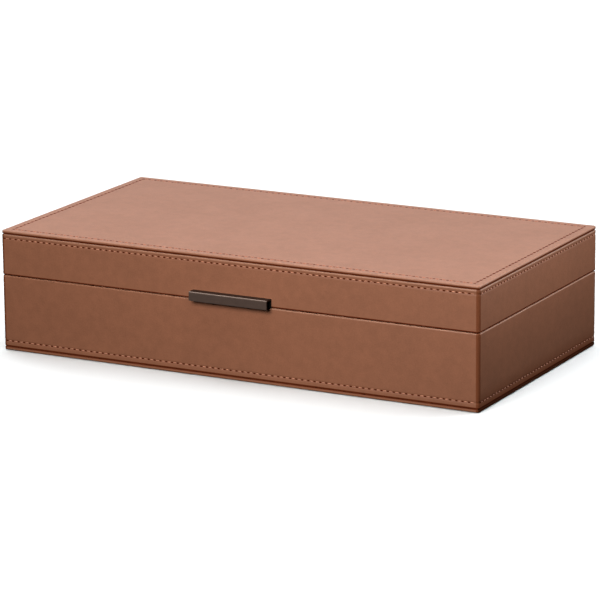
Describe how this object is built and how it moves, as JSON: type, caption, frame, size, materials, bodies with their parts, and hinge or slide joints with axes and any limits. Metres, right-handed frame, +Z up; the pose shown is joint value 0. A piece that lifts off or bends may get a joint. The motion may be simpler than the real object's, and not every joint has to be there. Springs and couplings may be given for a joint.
{
  "type": "valet box",
  "caption": "Low leather-covered valet box with a hinged lid, a metal finger pull, watch pillows and a small sliding inner drawer.",
  "frame": {"origin": "centre of the felt underside, on the surface the box stands on", "axes": "+X to the box's right as seen from the front, +Y to the back (the hinge side), +Z up"},
  "size_m": [0.356, 0.1993, 0.0835],
  "materials": {
    "tan_leather": "smooth fine-grained leather cloth, soft sheen",
    "case_board": "raw fibreboard",
    "suede_lining": "short napped suede cloth",
    "cushion_suede": "padded suede cloth",
    "base_felt": "flat felt",
    "bronze_metal": "dark bronze, satin",
    "hinge_steel": "satin",
    "hardwood": "waxed"
  },
  "bodies": {
    "case": {"base_felt": "base_felt", "base_panel_board": "case_board", "base_panel_leather": "tan_leather", "case_bottom_board": "case_board", "case_front_board": "case_board", "case_back_board": "case_board", "case_left_board": "case_board", "case_right_board": "case_board", "case_leather_wrap": "tan_leather", "case_lining_front": "suede_lining", "case_lining_back": "suede_lining", "case_lining_left": "suede_lining", "case_lining_right": "suede_lining", "case_floor_lining": "suede_lining", "long_partition": "suede_lining", "watch_divider_1": "suede_lining", "watch_divider_2": "suede_lining", "watch_divider_3": "suede_lining", "lower_divider_middle": "suede_lining", "lower_divider_right": "suede_lining", "watch_pillow_1": "cushion_suede", "watch_pillow_2": "cushion_suede", "watch_pillow_3": "cushion_suede", "watch_pillow_4": "cushion_suede", "drawer_rail_front": "hardwood", "drawer_rail_back": "hardwood", "hinge_left_case_leaf": "hinge_steel", "hinge_right_case_leaf": "hinge_steel", "hinge_left_pin": "hinge_steel", "hinge_right_pin": "hinge_steel", "case_hinge_screws": "hinge_steel"},
    "lid": {"lid_front_board": "case_board", "lid_back_board": "case_board", "lid_left_board": "case_board", "lid_right_board": "case_board", "lid_top_board": "case_board", "lid_leather_wrap": "tan_leather", "top_panel_board": "case_board", "top_panel_leather": "tan_leather", "lid_lining_front": "suede_lining", "lid_lining_back": "suede_lining", "lid_lining_left": "suede_lining", "lid_lining_right": "suede_lining", "lid_ceiling_pad": "suede_lining", "lid_pull": "bronze_metal", "lid_pull_rivets": "bronze_metal", "hinge_left_lid_leaf": "hinge_steel", "hinge_right_lid_leaf": "hinge_steel", "lid_hinge_screws": "hinge_steel"},
    "drawer": {"drawer_side_front": "suede_lining", "drawer_side_back": "suede_lining", "drawer_end_left": "suede_lining", "drawer_end_right": "suede_lining", "drawer_bottom": "suede_lining", "drawer_floor_lining": "suede_lining", "drawer_cross_divider": "suede_lining", "drawer_cell_divider": "suede_lining", "drawer_runners": "hardwood", "ring_rolls": "cushion_suede", "drawer_tab": "tan_leather"}
  },
  "joints": [
    {"name": "lid_hinge", "type": "hinge", "parent": "case", "child": "lid", "pos_m": [0, 0.0958, 0.0525], "axis": [-1, 0, 0], "range_deg": [0, 95]},
    {"name": "drawer_slide", "type": "slide", "parent": "case", "child": "drawer", "axis": [1, 0, 0], "range_m": [0, 0.173]}
  ]
}
